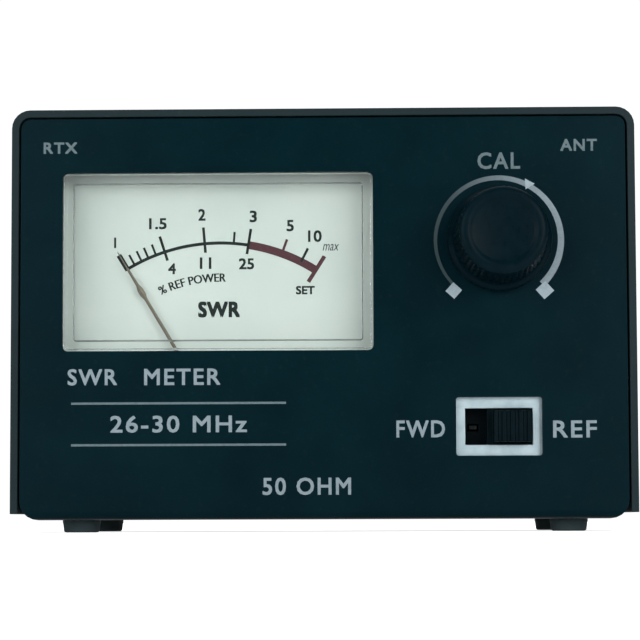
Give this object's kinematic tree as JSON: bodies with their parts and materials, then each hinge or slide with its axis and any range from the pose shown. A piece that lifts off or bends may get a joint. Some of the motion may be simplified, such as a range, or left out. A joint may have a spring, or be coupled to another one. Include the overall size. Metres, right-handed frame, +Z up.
{
  "type": "swr meter",
  "caption": "Small box-shaped SWR meter with a moving-coil dial, a round calibration knob, a forward/reflected slide switch and UHF sockets on the back.",
  "frame": {"origin": "on the surface under the feet, below the middle of the whole object's outer box", "axes": "+X to the right as seen from the front, +Y from the front panel to the rear panel, +Z up"},
  "size_m": [0.1034, 0.089, 0.0684],
  "materials": {
    "panel_paint": "satin blue-black enamel on bent steel",
    "cover_paint": "satin dark enamel with a fine texture",
    "zinc": "bright zinc plate",
    "nickel": "bright nickel plate",
    "foot_rubber": "moulded black rubber",
    "clear_lens": "clear moulded acrylic",
    "housing_plastic": "moulded black plastic",
    "knob_plastic": "moulded black plastic, satin",
    "button_plastic": "moulded black plastic",
    "dial_paint": "matt off-white print ground",
    "pointer_paint": "dark red paint",
    "iron": "dull dark iron",
    "brass": "plain brass",
    "copper": "bare copper",
    "dielectric": "waxy white plastic",
    "laminate": "brown paper laminate",
    "diode_glass": "glossy amber",
    "component_ceramic": "dipped ceramic",
    "wire_insulation": "red insulation"
  },
  "bodies": {
    "case": {"chassis": "panel_paint", "cover": "cover_paint", "cover_screw_left_front": "zinc", "cover_screw_left_rear": "zinc", "cover_screw_right_front": "zinc", "cover_screw_right_rear": "zinc", "foot_left_front": "foot_rubber", "foot_left_rear": "foot_rubber", "foot_right_front": "foot_rubber", "foot_right_rear": "foot_rubber", "meter_lens": "clear_lens", "meter_housing": "housing_plastic", "scale_plate": "dial_paint", "magnet_core": "iron", "yoke_ring": "iron", "movement_frame": "zinc", "front_bridge": "zinc", "jewel_screw": "brass", "meter_terminal_negative": "brass", "meter_terminal_positive": "brass", "pot_bushing": "zinc", "pot_nut": "nickel", "pot_washer": "zinc", "pot_can": "zinc", "pot_wafer": "laminate", "switch_frame": "nickel", "switch_base": "housing_plastic", "switch_terminal_forward": "brass", "switch_terminal_common": "brass", "switch_terminal_reflected": "brass", "rtx_socket_shell": "nickel", "rtx_socket_insulator": "dielectric", "rtx_centre_contact": "nickel", "ant_socket_shell": "nickel", "ant_socket_insulator": "dielectric", "ant_centre_contact": "nickel", "rtx_screw_upper": "zinc", "rtx_screw_lower": "zinc", "ant_screw_upper": "zinc", "ant_screw_lower": "zinc", "coupler_board": "laminate", "line_conductor": "copper", "diode_forward": "diode_glass", "diode_reflected": "diode_glass", "resistor_forward": "component_ceramic", "resistor_reflected": "component_ceramic", "capacitor_forward": "component_ceramic", "capacitor_reflected": "component_ceramic", "wire_meter_to_control": "wire_insulation", "wire_control_to_switch": "wire_insulation", "wire_switch_to_forward_diode": "wire_insulation", "wire_switch_to_reflected_diode": "wire_insulation"},
    "control": {"cal_knob": "knob_plastic", "pot_shaft": "zinc", "pot_wiper": "brass"},
    "slider": {"switch_slider": "button_plastic", "switch_contact": "brass"},
    "movement": {"pointer": "pointer_paint", "moving_coil": "copper", "hairspring": "brass"}
  },
  "joints": [
    {"name": "cal_knob_turn", "type": "hinge", "parent": "case", "child": "control", "pos_m": [0.0284, 0, 0.0468], "axis": [0, 1, 0], "range_deg": [-163, 107]},
    {"name": "switch_slide", "type": "slide", "parent": "case", "child": "slider", "axis": [1, 0, 0], "range_m": [-0.0042, 0]},
    {"name": "pointer_swing", "type": "hinge", "parent": "case", "child": "movement", "pos_m": [-0.017, 0, 0.0179], "axis": [0, 1, 0], "range_deg": [0, 63.5], "stiffness_Nm_per_rad": 0.0001, "springref_deg": -2.86}
  ]
}
